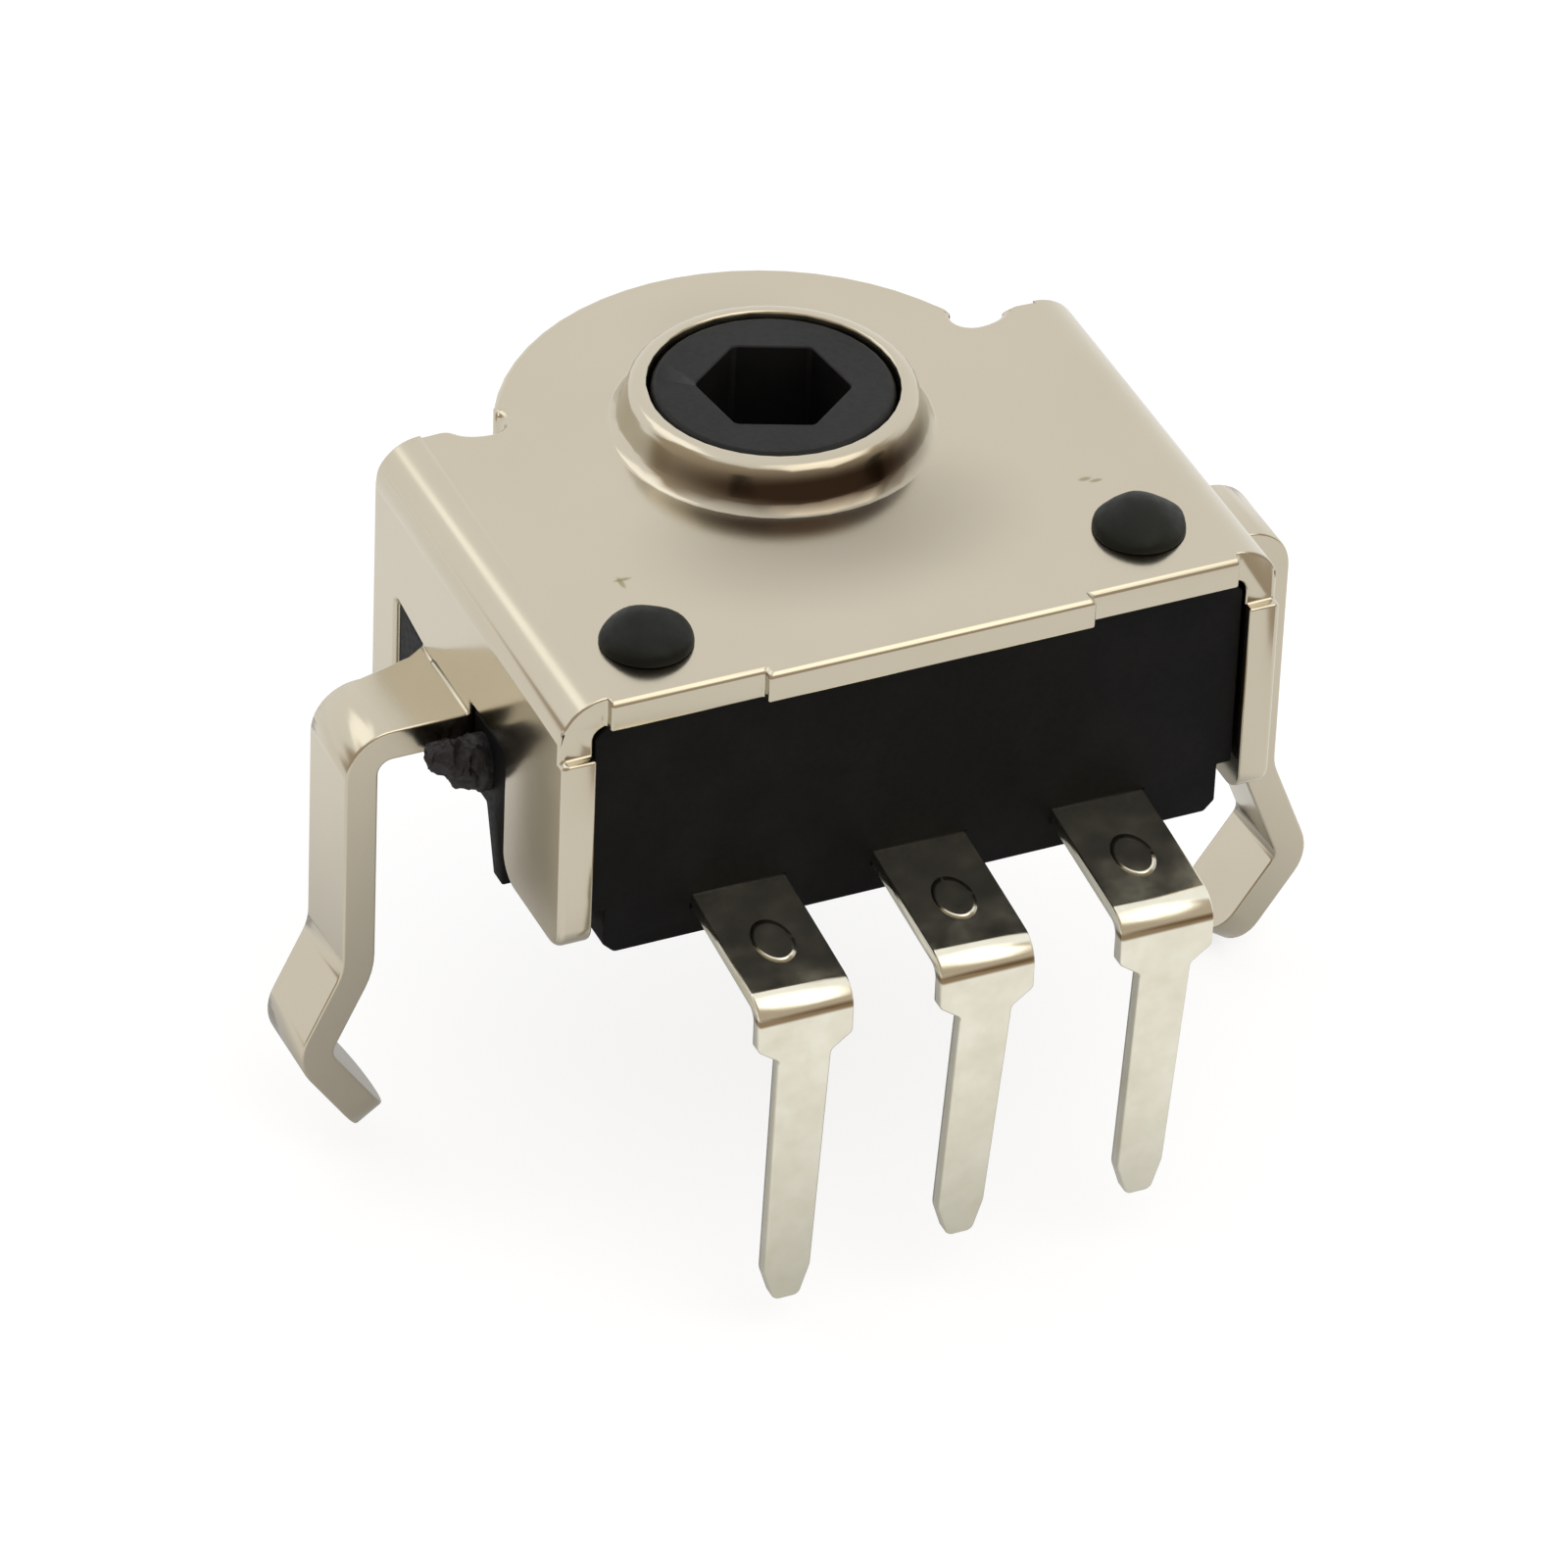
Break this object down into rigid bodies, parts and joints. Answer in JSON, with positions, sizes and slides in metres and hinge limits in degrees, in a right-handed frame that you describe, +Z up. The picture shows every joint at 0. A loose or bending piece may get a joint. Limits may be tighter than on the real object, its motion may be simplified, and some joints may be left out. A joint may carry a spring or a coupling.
{
  "type": "mouse scroll encoder",
  "caption": "Small scroll encoder: moulded rotor with a hexagonal through bore in a drawn metal collar, bent terminals at the front and kinked snap-in legs at the sides.",
  "frame": {"origin": "on the rotor's axis, in the top surface of the frame's plate", "axes": "+Z up along the rotor axis, out of the collar; -Y towards the terminals; +Y towards the rounded side; X across the snap-in legs"},
  "size_m": [0.0144, 0.0107, 0.0095],
  "materials": {
    "nickel_plate": "satin nickel plating on stamped steel",
    "housing_black": "moulded, fine satin",
    "rotor_black": "moulded, satin",
    "spring_bronze": "bright rolled phosphor bronze",
    "contact_gold": "gold-flashed contact plate",
    "terminal_tin": "tin-plated brass strip"
  },
  "bodies": {
    "housing": {"frame": "nickel_plate", "base": "housing_black", "click_spring": "spring_bronze", "terminal_a": "terminal_tin", "terminal_c": "terminal_tin", "terminal_b": "terminal_tin"},
    "rotor_unit": {"rotor": "rotor_black", "code_disc": "contact_gold"}
  },
  "joints": [
    {"name": "rotor_spin", "type": "hinge", "parent": "housing", "child": "rotor_unit", "pos_m": [0, 0, 0], "axis": [0, 0, 1], "continuous": true}
  ]
}
